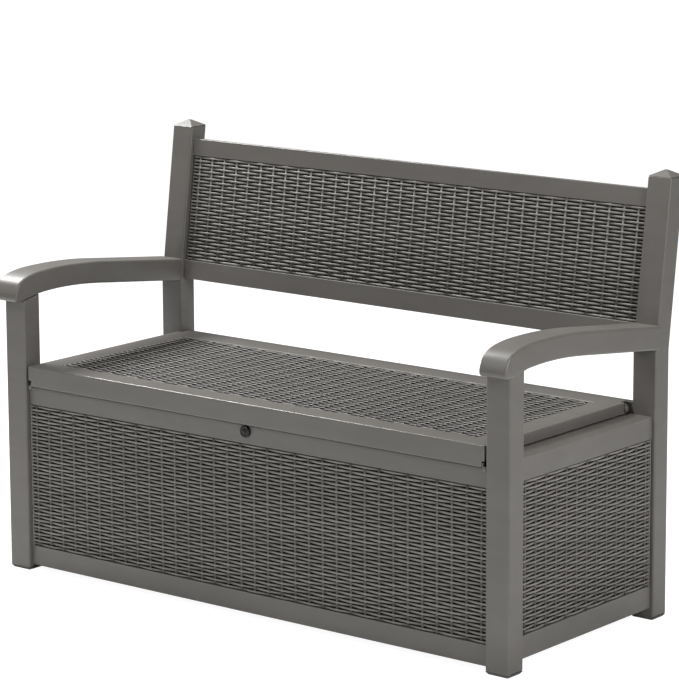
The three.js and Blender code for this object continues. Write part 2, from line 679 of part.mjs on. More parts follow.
// Ribbed liner: a dark sheet with rows of pockets, notched where the catch hangs.
function lidLiner() {
  const rim = 22;
  const rib = 3;
  const columns = 17;
  const rows = 3;
  const x = lidHalf - rim + 8;
  const y = [lidFront + rim, hinge.y - 15];
  const bottom = linerTop - linerDrop;
  const sheet = solid(block([-x, x], y, [bottom, linerTop]));
  const cell = [(2 * x - rib) / columns, (y[1] - y[0] - rib) / rows];
  const pockets = [];
  for (let i = 0; i < columns; i += 1) {
    for (let j = 0; j < rows; j += 1) {
      const left = -x + rib + i * cell[0];
      const front = y[0] + rib + j * cell[1];
      pockets.push(solid(block([left, left + cell[0] - rib], [front, front + cell[1] - rib],
        [bottom - 1, linerTop - rib])));
    }
  }
  const catchRoom = solid(block(grown(catchX, 12), [y[0] - 1, lidFront + lidBorder[0] + 6],
    [bottom - 1, linerTop + 1]));
  return sheet.subtract(sum(pockets)).subtract(catchRoom);
}

const lid = new THREE.Group();
bench.add(lid);
piece('lid_shell', lidShell(), resin, lid);
piece('lid_liner', lidLiner(), linerResin, lid);

// Hinge rod, with a push-on cap outside each end eye of the lid.
const rodEnd = lidHalf + 0.5 + rodCapLength - 0.8;
piece('hinge_rod', solid(rod('x', rodRadius, [-rodEnd, rodEnd], [hinge.y, hinge.z])), steel);
for (const [hand, sign] of sides) {
  const span = side(sign, lidHalf + 0.5, lidHalf + 0.5 + rodCapLength);
  const bore = side(sign, lidHalf, rodEnd + touch);
  const body = solid(rod('x', rodRadius + rodCapWall, span, [hinge.y, hinge.z]))
    .subtract(solid(rod('x', rodRadius + touch, bore, [hinge.y, hinge.z])));
  piece(`${hand}_rod_cap`, body, footResin);
}

// ------------------------------------------------------------------ lock and catch
function lockBody() {
  const head = solid(rod('y', lockHeadRadius, headSpan, lockCentre, 24));
  const barrel = solid(rod('y', barrelRadius, [lockFace - 1, barrelEnd], lockCentre));
  const bore = solid(rod('y', plugRadius + touch, [headSpan[0] - 1, barrelEnd + 1], lockCentre));
  return head.add(barrel).subtract(bore);
}

function lockPlug() {
  const plug = solid(rod('y', plugRadius, [headSpan[0] + 0.5, barrelEnd + touch], lockCentre));
  const keyway = solid(block([-1.1, 1.1], [headSpan[0] - 1, headSpan[0] + 5],
    [lockHeight - 4.2, lockHeight + 4.2]));
  const thread = solid(rod('y', camScrewRadius + touch, [barrelEnd - 8, barrelEnd + 2], lockCentre, 8));
  return plug.subtract(keyway).subtract(thread);
}

function lockNut() {
  const span = [lockFace + panelWall + touch, lockFace + panelWall + 5];
  return solid(rod('y', nutRadius, span, lockCentre, 6))
    .subtract(solid(rod('y', barrelRadius + touch, grown(span, 1), lockCentre)));
}

function lockCam() {
  const hub = solid(rod('y', 8, camSpan, lockCentre));
  const blade = solid(block([-camWidth / 2, camWidth / 2], camSpan, [lockHeight, lockHeight + camLength]));
  const hole = solid(rod('y', camScrewRadius + touch, grown(camSpan, 1), lockCentre, 8));
  return hub.add(blade).subtract(hole);
}

// J-shaped catch: a foot screwed under the lid, a web, and a hook that the turned cam lies over.
function lockCatch() {
  const parts = [
    block(catchX, [webFront, webFront + catchFoot], footSpan),
    block(catchX, [webFront, webFront + 2], [hookTop - 2.5, footSpan[1]]),
    block(catchX, [barrelEnd + 1, webFront + 1], [hookTop - 2.5, hookTop]),
  ];
  const holes = catchScrews.map(([, x]) => catchScrewHole(x));
  return sum(parts.map(solid)).subtract(sum(holes.map(solid)));
}

piece('lock_body', lockBody(), blackMetal);
piece('lock_nut', lockNut(), steel);
piece('lock_plug', lockPlug(), blackMetal);
piece('lock_cam', lockCam(), steel);
piece('lock_catch', lockCatch(), steel, lid);
const camScrew = screw('lock_cam_screw', 6, bench);
camScrew.position.set(0, camSpan[1] + touch, lockHeight);
for (const [name, x] of catchScrews) {
  const mesh = screw(`catch_screw_${name}`, 3.8, lid);
  mesh.position.set(x, catchScrewY, footSpan[0] - touch);
  mesh.rotation.x = -Math.PI / 2;
}

bench.position.y = -middleY;
export default bench;
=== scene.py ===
import json
import math
import bpy
import numpy as np
from mathutils import Matrix, Vector
from mathutils.geometry import tessellate_polygon


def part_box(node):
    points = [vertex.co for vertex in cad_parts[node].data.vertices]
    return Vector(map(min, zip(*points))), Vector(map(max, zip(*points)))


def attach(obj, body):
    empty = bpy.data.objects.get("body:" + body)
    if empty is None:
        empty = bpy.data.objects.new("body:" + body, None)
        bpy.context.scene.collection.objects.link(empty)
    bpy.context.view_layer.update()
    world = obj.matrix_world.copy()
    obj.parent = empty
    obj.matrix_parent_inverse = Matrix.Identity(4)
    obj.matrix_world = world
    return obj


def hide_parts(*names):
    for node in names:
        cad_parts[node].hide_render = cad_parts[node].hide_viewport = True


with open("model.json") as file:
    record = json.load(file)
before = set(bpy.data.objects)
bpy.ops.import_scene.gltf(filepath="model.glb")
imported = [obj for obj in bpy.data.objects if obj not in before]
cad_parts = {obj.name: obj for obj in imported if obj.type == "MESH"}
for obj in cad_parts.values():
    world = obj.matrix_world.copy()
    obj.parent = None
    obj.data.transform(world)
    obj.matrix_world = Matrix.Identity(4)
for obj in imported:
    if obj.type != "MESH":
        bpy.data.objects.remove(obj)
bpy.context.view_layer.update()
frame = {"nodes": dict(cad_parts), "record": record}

# Storage bench in moulded resin. The CAD part gives every place; this script softens its edges, lays
# the woven fields into its recesses, builds the small fittings and paints everything. Metres, +Z up.
MM = 0.001

# ------------------------------------------------------------------ sizes that the CAD part also uses
FRONT_RECESS = 10.5 * MM  # from the posts' front face back to the front panel's
SIDE_RECESS = 7.5 * MM  # from the posts' outer faces in to the side and back panels'
FIELD_DEPTH = 5 * MM  # from a panel's rails down to its woven field's floor
LID_FIELD_DEPTH = 4 * MM
FRONT_FIELD = (55 * MM, 364 * MM)  # low and high edge of the woven fields
SIDE_FIELD = (73 * MM, 377 * MM)
LID_BORDER = (54 * MM, 52 * MM, 62 * MM)  # front, sides, rear
LEAN = math.radians(7.7)  # rear posts above their knee
KNEE_HEIGHT = 554 * MM
BACKREST = (565 * MM, 875 * MM)  # low and high edge
BACKREST_RAILS = (42 * MM, 37 * MM)  # low and high rail
BACKREST_BORDER = 3.5 * MM  # beside the backrest's fields
BACKREST_FACES = (9.5 * MM, 37.5 * MM)  # front and rear, behind the rear posts' front face
PANEL_GAP = 0.3 * MM  # between a panel and its posts

# ------------------------------------------------------------------ the weave
STAKE_PITCH = 35 * MM
ROW_PITCH = 7.5 * MM
STAKE_WIDTH = 5.2 * MM
STAKE_HALF_THICK = 0.12  # share of the field's depth
STEPS_PER_PITCH = 6  # points of a strand from one stake to the next
RING = 6  # corners of a strand's cross-section
# swing and half_thick are shares of the field's depth; a strand's ends rise by end_lift
PANEL_WEAVE = {"depth": FIELD_DEPTH, "strand": 4.7 * MM, "swing": 0.29, "half_thick": 0.2,
               "end_lift": 0.0}
LID_WEAVE = {"depth": LID_FIELD_DEPTH, "strand": 3.5 * MM, "swing": 0.36, "half_thick": 0.14,
             "end_lift": 1.6 * MM}

front_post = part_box("front_right_post")
lid_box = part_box("lid_shell")
INNER_X = front_post[0].x
OUTER_X = front_post[1].x
FRONT_Y = front_post[0].y
REAR_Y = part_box("rear_right_foot")[1].y
POST_DEPTH = front_post[1].y - FRONT_Y
KNEE = Vector((0, REAR_Y - POST_DEPTH, KNEE_HEIGHT))
UP_LEAN = Vector((0, math.sin(LEAN), math.cos(LEAN)))
BACK_LEAN = Vector((0, math.cos(LEAN), -math.sin(LEAN)))
X, Y, Z = Vector((1, 0, 0)), Vector((0, 1, 0)), Vector((0, 0, 1))


# ------------------------------------------------------------------ materials
class Nodes:
    """Adds nodes to a material and joins them, so that each recipe reads from top to bottom."""

    def __init__(self, name):
        self.material = bpy.data.materials.new(name)
        self.material.use_nodes = True
        self.tree = self.material.node_tree
        self.shader = self.tree.nodes["Principled BSDF"]
        self.place = self.add("ShaderNodeTexCoord").outputs["Object"]

    def add(self, kind, **settings):
        node = self.tree.nodes.new(kind)
        for key, value in settings.items():
            setattr(node, key, value)
        return node

    def join(self, output, socket):
        self.tree.links.new(output, socket)

    def noise(self, scale, detail=4, stretch=None):
        """Noise of the given fineness, packed closer along the axes that stretch makes larger."""
        node = self.add("ShaderNodeTexNoise")
        node.inputs["Scale"].default_value = scale
        node.inputs["Detail"].default_value = detail
        node.inputs["Roughness"].default_value = 0.55
        place = self.place
        if stretch:
            mapping = self.add("ShaderNodeMapping")
            mapping.inputs["Scale"].default_value = stretch
            self.join(place, mapping.inputs["Vector"])
            place = mapping.outputs["Vector"]
        self.join(place, node.inputs["Vector"])
        return node.outputs["Fac"]

    def ramp(self, value, low, high, at=(0.35, 0.65)):
        """Colours from low to high as value goes from at[0] to at[1]."""
        node = self.add("ShaderNodeValToRGB")
        node.color_ramp.elements[0].position = at[0]
        node.color_ramp.elements[0].color = (*low, 1)
        node.color_ramp.elements[1].position = at[1]
        node.color_ramp.elements[1].color = (*high, 1)
        self.join(value, node.inputs["Fac"])
        return node.outputs["Color"]

    def spread(self, value, low, high, at=(0.3, 0.7)):
        """A number from low to high as value goes from at[0] to at[1]."""
        node = self.add("ShaderNodeMapRange")
        node.inputs["From Min"].default_value = at[0]
        node.inputs["From Max"].default_value = at[1]
        node.inputs["To Min"].default_value = low
        node.inputs["To Max"].default_value = high
        self.join(value, node.inputs["Value"])
        return node.outputs["Result"]

    def mix(self, a, b, share, blend="MIX"):
        """Colour a with the given share of b laid over it."""
        node = self.add("ShaderNodeMix", data_type="RGBA", blend_type=blend)
        node.inputs["Factor"].default_value = share
        self.join(a, node.inputs[6])
        self.join(b, node.inputs[7])
        return node.outputs[2]

    def bump(self, heights):
        """Lays bumps over each other; heights is a list of (output, depth in metres)."""
        normal = None
        for height, depth in heights:
            node = self.add("ShaderNodeBump")
            node.inputs["Strength"].default_value = 1
            node.inputs["Distance"].default_value = depth
            self.join(height, node.inputs["Height"])
            if normal:
                self.join(normal, node.inputs["Normal"])
            normal = node.outputs["Normal"]
        self.join(normal, self.shader.inputs["Normal"])


GRAIN = 0.05 * MM  # depth of the moulded grain


def resin(name, dark, light, roughness, specular=0.5):
    """Satin moulded resin: slow mottling, faint flow streaks and a fine moulded grain."""
    n = Nodes(name)
    mottle = n.noise(9, detail=5)
    streak = n.noise(14, detail=3, stretch=(0.25, 1.0, 2.4))
    fine = n.noise(1500, detail=2)
    pebble = n.noise(420, detail=2)
    base = n.ramp(mottle, dark, light)
    streaks = n.ramp(streak, tuple(c * 0.93 for c in dark), tuple(c * 1.05 for c in light), (0.4, 0.62))
    n.join(n.mix(base, streaks, 0.25), n.shader.inputs["Base Color"])
    n.join(n.spread(pebble, *roughness), n.shader.inputs["Roughness"])
    n.shader.inputs["Specular IOR Level"].default_value = specular
    n.bump([(pebble, GRAIN), (fine, GRAIN * 0.5)])
    return n.material


def edge_resin(name, axis, dull, shiny):
    """Rounded edges of a resin node, lighter than the resin: a painted highlight along them, and rubbed
    wear. Polished at the coordinate shiny on the axis given, dull at dull.
    """
    n = Nodes(name)
    mottle = n.noise(9, detail=5)
    pebble = n.noise(420, detail=2)
    parts = n.add("ShaderNodeSeparateXYZ")
    n.join(n.place, parts.inputs[0])
    n.join(n.ramp(mottle, (0.115, 0.108, 0.098), (0.13, 0.122, 0.111)), n.shader.inputs["Base Color"])
    n.join(n.spread(parts.outputs[axis], 0.62, 0.22, (dull, shiny)), n.shader.inputs["Roughness"])
    n.shader.inputs["Specular IOR Level"].default_value = 0.75
    n.bump([(pebble, GRAIN)])
    return n.material


def strand_resin(name, dark, light, specular, deepest=0.4, fade=(0.15, 0.6)):
    """Resin of the woven strands: each has its own tone and fine lines, and painted shade darkens it deep
    in its field.
    Its colour goes from the share deepest to the whole as it rises from fade[0] to fade[1], where 0 is
    the field's floor and 1 the rails' face."""
    n = Nodes(name)
    tone = n.add("ShaderNodeAttribute", attribute_name="tone").outputs["Fac"]
    rise = n.add("ShaderNodeAttribute", attribute_name="rise").outputs["Fac"]
    streak = n.noise(90, detail=3)
    fine = n.noise(1400, detail=2)
    by_strand = n.ramp(tone, dark, light, (0.0, 1.0))
    by_place = n.ramp(streak, tuple(c * 0.86 for c in dark), tuple(c * 1.06 for c in light))
    colour = n.mix(by_strand, by_place, 0.45)
    # painted shade of the recess: the strand darkens the deeper it lies
    shade = n.spread(rise, deepest, 1.0, fade)
    n.join(n.mix(colour, shade, 1.0, "MULTIPLY"), n.shader.inputs["Base Color"])
    n.join(n.spread(streak, 0.4, 0.52), n.shader.inputs["Roughness"])
    n.shader.inputs["Specular IOR Level"].default_value = specular
    n.bump([(streak, 0.12 * MM), (fine, 0.03 * MM)])
    return n.material


def metal(name, dark, light, roughness, metallic=1.0, specular=0.5):
    """Plated or lacquered metal, cloudy in colour, with fine scratches in its gloss."""
    n = Nodes(name)
    cloud = n.noise(60, detail=4)
    lines = n.noise(900, detail=3, stretch=(1.0, 0.15, 1.0))
    n.join(n.ramp(cloud, dark, light), n.shader.inputs["Base Color"])
    n.join(n.spread(lines, *roughness), n.shader.inputs["Roughness"])
    n.shader.inputs["Metallic"].default_value = metallic
    n.shader.inputs["Specular IOR Level"].default_value = specular
    n.bump([(lines, 0.02 * MM)])
    return n.material


FLOOR_GLOW = 1.36  # brightness of the floor's own light
FLOOR_GLOW_SHARE = 0.7  # how much of what the camera sees of the floor is that light


def studio_floor():
    """Matt white floor that the camera sees partly by its own light, as an overlit studio floor."""
    n = Nodes("studio_floor")
    n.join(n.ramp(n.noise(2), (0.86, 0.86, 0.86), (0.88, 0.88, 0.88)), n.shader.inputs["Base Color"])
    n.shader.inputs["Roughness"].default_value = 0.9
    glow = n.add("ShaderNodeEmission")
    seen = n.add("ShaderNodeLightPath")
    share = n.add("ShaderNodeMath", operation="MULTIPLY")
    share.inputs[1].default_value = FLOOR_GLOW_SHARE
    n.join(seen.outputs["Is Camera Ray"], share.inputs[0])
    both = n.add("ShaderNodeMixShader")
    n.join(share.outputs[0], both.inputs[0])
    n.join(n.shader.outputs[0], both.inputs[1])
    n.join(glow.outputs[0], both.inputs[2])
    glow.inputs["Strength"].default_value = FLOOR_GLOW
    n.join(both.outputs[0], n.tree.nodes["Material Output"].inputs["Surface"])
    return n.material


RESIN = resin("warm_grey_resin", (0.105, 0.098, 0.089), (0.117, 0.110, 0.100), (0.36, 0.46))
# Lighter, glossier copy for the rounded edges: a painted highlight along the edges, and rubbed wear.
RESIN_EDGE = resin("warm_grey_resin_edge", (0.125, 0.117, 0.107), (0.14, 0.132, 0.12), (0.2, 0.3),
                   specular=0.75)
STRAND = strand_resin("strand_resin", (0.165, 0.156, 0.143), (0.215, 0.204, 0.189), 0.35)
# The lid's strands: lighter than the panels', painted light on the lid's top, and with stronger painted
# shade low in the field.
LID_STRAND = strand_resin("lid_strand_resin", (0.21, 0.199, 0.184), (0.29, 0.276, 0.256), 0.5,
                          deepest=0.12, fade=(0.55, 0.95))
# Stakes: darker than the strands, painted shade where they lie behind them, and with the strands' painted
# shade deep in the field.
STAKE = strand_resin("stake_resin", (0.115, 0.108, 0.099), (0.145, 0.137, 0.126), 0.12)
LID_EDGE = edge_resin("lid_edge_resin", "Y", lid_box[0].y + LID_BORDER[0] / 2, lid_box[0].y + 4 * MM)
BACKREST_EDGE = edge_resin("backrest_edge_resin", "Z", BACKREST[1] - 30 * MM, BACKREST[1] - 4 * MM)
# Near-black sheet laid just above each woven field's floor: painted shade in the gaps between the strands.
PAINTED_SHADE_SHEET = resin("painted_shade_backing", (0.012, 0.011, 0.01), (0.02, 0.018, 0.016), (0.6, 0.75), specular=0.15)
LINER = resin("dark_liner_resin", (0.022, 0.021, 0.02), (0.034, 0.032, 0.03), (0.42, 0.55))
# Lighter copy for the liner's rounded edges: a painted highlight along the edges, and rubbed wear.
LINER_EDGE = resin("dark_liner_edge", (0.04, 0.038, 0.036), (0.055, 0.052, 0.05), (0.36, 0.46))
FOOT = resin("foot_resin", (0.085, 0.078, 0.07), (0.105, 0.097, 0.088), (0.5, 0.62))
# Lighter copy for the feet's rounded edges: a painted highlight along the edges, and rubbed wear.
FOOT_EDGE = resin("foot_resin_edge", (0.11, 0.102, 0.092), (0.13, 0.122, 0.11), (0.5, 0.62))
STEEL = metal("zinc_plated_steel", (0.5, 0.5, 0.49), (0.66, 0.66, 0.65), (0.25, 0.42))
BLACK = metal("black_lacquer", (0.003, 0.003, 0.003), (0.007, 0.007, 0.007), (0.06, 0.14), metallic=0.0,
              specular=0.3)
EDGE_OF = {RESIN: RESIN_EDGE, LINER: LINER_EDGE, FOOT: FOOT_EDGE}


# ------------------------------------------------------------------ CAD nodes that stay
PANEL_ROUNDING = 1.4 * MM


def soften(name, material, width, segments=3, edge=None):
    """Rounds a CAD node's edges with modifiers and paints it. The rounded edges take the material edge,
    or the one that EDGE_OF gives. The part's flat faces are merged first, so that only real edges are
    rounded, and split into triangles again so that the rounding can't fold them."""
    node = frame["nodes"][name]
    mesh = node.data
    for attribute in ("custom_normal", "sharp_edge", "sharp_face"):  # the import's flat shading
        if attribute in mesh.attributes:
            mesh.attributes.remove(mesh.attributes[attribute])
    mesh.shade_smooth()
    mesh.materials.clear()
    mesh.materials.append(material)
    mesh.materials.append(edge or EDGE_OF.get(material, material))
    weld = node.modifiers.new("weld", "WELD")
    weld.merge_threshold = 0.02 * MM
    flat = node.modifiers.new("flat", "DECIMATE")
    flat.decimate_type = "DISSOLVE"
    flat.angle_limit = math.radians(1)
    split = node.modifiers.new("split", "TRIANGULATE")
    split.min_vertices = 5
    bevel = node.modifiers.new("bevel", "BEVEL")
    bevel.width = width
    bevel.segments = segments
    bevel.limit_method = "ANGLE"
    bevel.angle_limit = math.radians(35)
    bevel.use_clamp_overlap = False
    bevel.material = 1
    shading = node.modifiers.new("shading", "WEIGHTED_NORMAL")
    shading.weight = 90


def soften_resin_nodes():
    for hand in ("left", "right"):
        for end in ("front", "rear"):
            soften(f"{end}_{hand}_post", RESIN, 1.1 * MM)
            soften(f"{end}_{hand}_foot", FOOT, 0.6 * MM)
        soften(f"{hand}_armrest", RESIN, 1.2 * MM)
        soften(f"rear_{hand}_post_cap", RESIN, 1.0 * MM)
        soften(f"{hand}_side_panel", RESIN, PANEL_ROUNDING)
    soften("front_panel", RESIN, PANEL_ROUNDING)
    soften("back_panel", RESIN, PANEL_ROUNDING)
    soften("backrest_panel", RESIN, PANEL_ROUNDING, edge=BACKREST_EDGE)
    soften("floor_panel", LINER, 1.0 * MM)
    soften("lid_shell", RESIN, 1.8 * MM, edge=LID_EDGE)
    soften("lid_liner", LINER, 0.9 * MM)


def soften_metal_nodes():
    for name in ("lock_cam", "lock_catch", "lock_nut", "hinge_rod"):
        soften(name, STEEL, 0.35 * MM, segments=2)


# ------------------------------------------------------------------ mesh making
def new_piece(name, vertices, faces, materials, body, indices=None, attributes=None):
    """Mesh object that rides on a body. indices gives each face's material, and attributes each
    vertex's values by attribute name."""
    mesh = bpy.data.meshes.new(name)
    mesh.from_pydata(vertices, [], faces)
    for material in materials:
        mesh.materials.append(material)
    if indices:
        mesh.polygons.foreach_set("material_index", indices)
    for attribute, values in (attributes or {}).items():
        mesh.attributes.new(attribute, "FLOAT", "POINT").data.foreach_set("value", values)
    mesh.shade_smooth()
    mesh.update()
    piece = bpy.data.objects.new(name, mesh)
    bpy.context.scene.collection.objects.link(piece)
    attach(piece, body)
    return piece


def tube(path, wide, thick, half_wide, half_thick, power=1.0):
    """Closed tube along path. wide and thick are its cross-section's axes; power under 1 squares it."""
    shape = []
    for k in range(RING):
        angle = 2 * math.pi * (k + 0.5) / RING
        c, s = math.cos(angle), math.sin(angle)
        shape.append(wide * (half_wide * math.copysign(abs(c) ** power, c))
                     + thick * (half_thick * math.copysign(abs(s) ** power, s)))
    vertices = [point + offset for point in path for offset in shape]
    faces = []
    for i in range(len(path) - 1):
        a, b = i * RING, (i + 1) * RING
        for k in range(RING):
            m = (k + 1) % RING
            faces.append((a + k, a + m, b + m, b + k))
    last = (len(path) - 1) * RING
    faces.append(tuple(range(RING - 1, -1, -1)))
    faces.append(tuple(range(last, last + RING)))
    return vertices, faces


def woven_mat(name, body, corner, along, up, length, height, weave=PANEL_WEAVE, material=STRAND):
    """A woven field laid into a recess: strands along one axis, over and under stakes across them.
    corner is the field's low corner on the face of its rails; along x up points out of the face."""
    out = along.cross(up)
    depth = weave["depth"]
    rows = round(height / ROW_PITCH)
    pitch = height / rows
    stakes = round(length / STAKE_PITCH)
    stake_pitch = length / stakes
    start = stake_pitch / 2
    middle = corner - out * (depth / 2)
    swing = depth * weave["swing"]
    half_thick = depth * weave["half_thick"]
    steps = stakes * STEPS_PER_PITCH
    vertices, faces, indices, tones, rises = [], [], [], [], []

    def lay(tube_parts, index, tone):
        points, sides = tube_parts
        base = len(vertices)
        vertices.extend(points)
        tones.extend([tone] * len(points))
        # rise is 0 at the field's floor and 1 at the rails' face; the strand materials paint shade from it
        rises.extend(1 + (point - corner).dot(out) / depth for point in points)
        faces.extend(tuple(base + v for v in side) for side in sides)
        indices.extend([index] * len(sides))

    for row in range(rows):
        sign = 1 if row % 2 else -1
        level = middle + up * (pitch * (row + 0.5))
        path = []
        for i in range(steps + 1):
            s = length * i / steps
            side = math.cos(math.pi * (s - start) / stake_pitch)
            rise = weave["end_lift"] * max(0.0, 1 - min(s, length - s) / (0.5 * stake_pitch)) ** 2
            path.append(level + along * s + out * (sign * swing * side + rise))
        tone = 0.5 + 0.5 * math.sin(row * 12.9898 + len(name))  # uneven from row to row
        lay(tube(path, up, out, weave["strand"] / 2, half_thick), 0, tone)
    for j in range(stakes):
        foot = middle + along * (start + j * stake_pitch)
        path = [foot, foot + up * height]
        tone = 0.5 + 0.5 * math.sin(j * 7.233 + len(name))
        lay(tube(path, along, out, STAKE_WIDTH / 2, depth * STAKE_HALF_THICK, power=0.6), 1, tone)

    # The painted shade sheet, 0.25 mm above the recess floor.
    floor = corner - out * (depth - 0.25 * MM)
    base = len(vertices)
    vertices.extend([floor, floor + along * length, floor + along * length + up * height,
                     floor + up * height])
    tones.extend([0.5] * 4)
    rises.extend([0.0] * 4)
    faces.append((base, base + 1, base + 2, base + 3))
    indices.append(2)
    new_piece(name, vertices, faces, [material, STAKE, PAINTED_SHADE_SHEET], body, indices,
              {"tone": tones, "rise": rises})


def box_fields():
    """Woven fields of the storage box's four panels."""
    half = INNER_X - PANEL_GAP
    side_height = SIDE_FIELD[1] - SIDE_FIELD[0]
    woven_mat("front_weave", "base", Vector((-half, FRONT_Y + FRONT_RECESS, FRONT_FIELD[0])),
              X, Z, 2 * half, FRONT_FIELD[1] - FRONT_FIELD[0])
    woven_mat("back_weave", "base", Vector((half, REAR_Y - SIDE_RECESS, SIDE_FIELD[0])),
              -X, Z, 2 * half, side_height)
    side_start = FRONT_Y + POST_DEPTH + PANEL_GAP
    side_end = REAR_Y - POST_DEPTH - PANEL_GAP
    side_x = OUTER_X - SIDE_RECESS
    woven_mat("right_side_weave", "base", Vector((side_x, side_start, SIDE_FIELD[0])),
              Y, Z, side_end - side_start, side_height)
    woven_mat("left_side_weave", "base", Vector((-side_x, side_end, SIDE_FIELD[0])),
              -Y, Z, side_end - side_start, side_height)


def lid_field():
    field_x = lid_box[1].x - LID_BORDER[1]
    field_front = lid_box[0].y + LID_BORDER[0]
    field_rear = lid_box[1].y - LID_BORDER[2]
    woven_mat("lid_weave", "lid", Vector((-field_x, field_front, lid_box[1].z)),
              X, Y, 2 * field_x, field_rear - field_front, LID_WEAVE, LID_STRAND)


def backrest_fields():
    """Woven fields of the backrest's two faces, measured up the leaning posts from their knees."""
    low = (BACKREST[0] - KNEE_HEIGHT) / math.cos(LEAN) + BACKREST_RAILS[0]
    high = (BACKREST[1] - KNEE_HEIGHT) / math.cos(LEAN) - BACKREST_RAILS[1]
    half = INNER_X - PANEL_GAP - BACKREST_BORDER
    front = KNEE + UP_LEAN * low + BACK_LEAN * BACKREST_FACES[0]
    rear = KNEE + UP_LEAN * low + BACK_LEAN * BACKREST_FACES[1]
    woven_mat("backrest_weave", "base", front - X * half, X, UP_LEAN, 2 * half, high - low)
    woven_mat("backrest_rear_weave", "base", rear + X * half, -X, UP_LEAN, 2 * half, high - low)


# ------------------------------------------------------------------ small turned fittings
def ring(centre, axis, radius, count):
    """Points of a circle round axis, starting square to the world's axes."""
    side = axis.orthogonal().normalized()
    other = axis.cross(side)
    return [centre + side * (radius * math.cos(2 * math.pi * i / count))
            + other * (radius * math.sin(2 * math.pi * i / count)) for i in range(count)]


def turned(name, origin, axis, profile, recess, material, body, replaced, count=28):
    """Turned piece: profile is (radius, height along axis) from its back to its front face, and recess
    is a (points, depth) pocket cut into that front face. It replaces the CAD node given."""
    axis = axis.normalized()
    vertices = []
    faces = []
    for radius, height in profile:
        vertices.extend(ring(origin + axis * height, axis, radius, count))
    for i in range(len(profile) - 1):
        for k in range(count):
            m = (k + 1) % count
            a, b = i * count, (i + 1) * count
            faces.append((a + k, a + m, b + m, b + k))
    faces.append(tuple(range(count - 1, -1, -1)))
    rim = list(range((len(profile) - 1) * count, len(profile) * count))
    points, depth = recess
    side = axis.orthogonal().normalized()
    other = axis.cross(side)
    front = origin + axis * profile[-1][1]
    mouth = [front + side * u + other * v for u, v in points]
    base = len(vertices)
    vertices.extend(mouth)
    vertices.extend(point - axis * depth for point in mouth)
    hole = list(range(base, base + len(points)))
    index = rim + hole
    for triangle in tessellate_polygon([[vertices[i] for i in rim], [vertices[i] for i in hole]]):
        corner = [index[i] for i in triangle]
        a, b, c = (vertices[i] for i in corner)
        faces.append(tuple(corner) if (b - a).cross(c - a).dot(axis) > 0 else tuple(reversed(corner)))
    total = len(points)
    for k in range(total):
        m = (k + 1) % total
        faces.append((base + k, base + m, base + total + m, base + total + k))
    faces.append(tuple(range(base + total, base + 2 * total)))
    piece = new_piece(name, vertices, faces, [material], body)
    edge = piece.modifiers.new("bevel", "BEVEL")
    edge.width = 0.15 * MM
    edge.segments = 2
    edge.limit_method = "ANGLE"
    edge.angle_limit = math.radians(40)
    edge.harden_normals = True
    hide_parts(replaced)


def cross(arm, half_width):
    """Outline of a cross recess, turning the same way as the ring."""
    corners = [(arm, -half_width), (arm, half_width), (half_width, half_width)]
    points = []
    for quarter in range(4):
        c, s = ((1, 0), (0, 1), (-1, 0), (0, -1))[quarter]
        points.extend((u * c - v * s, u * s + v * c) for u, v in corners)
    return points


def screw_axis(node):
    """Middle of a screw's head underside, the way its head faces and its shank's length, read from the
    CAD node's points: its axis is the odd one of their three main directions."""
    points = np.unique(np.round([tuple(v.co) for v in frame["nodes"][node].data.vertices], 6), axis=0)
    centre = points.mean(axis=0)
    values, vectors = np.linalg.eigh(np.cov((points - centre).T))
    odd = 0 if abs(values[0] - values[1]) > abs(values[2] - values[1]) else 2
    axis = vectors[:, odd]
    along = (points - centre) @ axis
    off = np.linalg.norm(points - centre - np.outer(along, axis), axis=1)
    on_head = off > 0.9 * off.max()
    head = along[on_head].mean()
    if head < along.mean():
        axis, along, head = -axis, -along, -head
    base = centre + axis * along[on_head].min()
    aside = points[on_head].mean(axis=0) - base
    base = base + aside - axis * (aside @ axis)
    return Vector(base), Vector(axis), float(head - along.min())


THREAD_PITCH = 1.4 * MM
THREAD_RADII = (1.5 * MM, 1.95 * MM)  # root and crest
SCREW_TIP = 1.2 * MM  # length of the plain cone at the end
HEAD_PROFILE = [(1.6 * MM, 0), (4.5 * MM, 0), (4.5 * MM, 0.9 * MM), (4.1 * MM, 1.7 * MM),
                (3.3 * MM, 2.3 * MM), (2.7 * MM, 2.5 * MM)]


def screws():
    """Pan-head screws with a cross recess and ridged shanks, in place of the plain CAD ones."""
    bodies = {node: body for body, nodes in frame["record"]["behaviour"]["bodies"].items()
              for node in nodes}
    for node in sorted(frame["nodes"]):
        if "screw" not in node:
            continue
        base, axis, reach = screw_axis(node)
        root, crest = THREAD_RADII
        profile = [(0.6 * MM, -reach), (root, -reach + SCREW_TIP)]
        ridges = int((reach - 2 * MM) / THREAD_PITCH)
        for i in range(ridges):
            start = -reach + SCREW_TIP + i * THREAD_PITCH
            profile += [(crest, start + 0.5 * MM), (root, start + 1.0 * MM)]
        profile += HEAD_PROFILE
        turned(node + "_detail", base, axis, profile, (cross(1.9 * MM, 0.45 * MM), 1.3 * MM),
               STEEL, bodies[node], node, count=20)


def rod_caps():
    """Domed push-on caps on the hinge rod's ends."""
    for hand, sign in (("left", -1), ("right", 1)):
        low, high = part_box(f"{hand}_rod_cap")
        radius = (high.z - low.z) / 2
        length = high.x - low.x
        inner = low.x if sign > 0 else high.x
        origin = Vector((inner, (low.y + high.y) / 2, (low.z + high.z) / 2))
        profile = [(radius * 0.7, 0), (radius * 0.96, 0.1 * length), (radius, 0.35 * length),
                   (radius * 0.94, 0.7 * length), (radius * 0.75, 0.92 * length),
                   (radius * 0.5, length)]
        hexagon = [(radius * 0.28 * math.cos(a), radius * 0.28 * math.sin(a))
                   for a in (i * math.pi / 3 for i in range(6))]
        turned(f"{hand}_rod_cap_detail", origin, X * sign, profile, (hexagon, 0.4 * MM), FOOT, "base",
               f"{hand}_rod_cap")


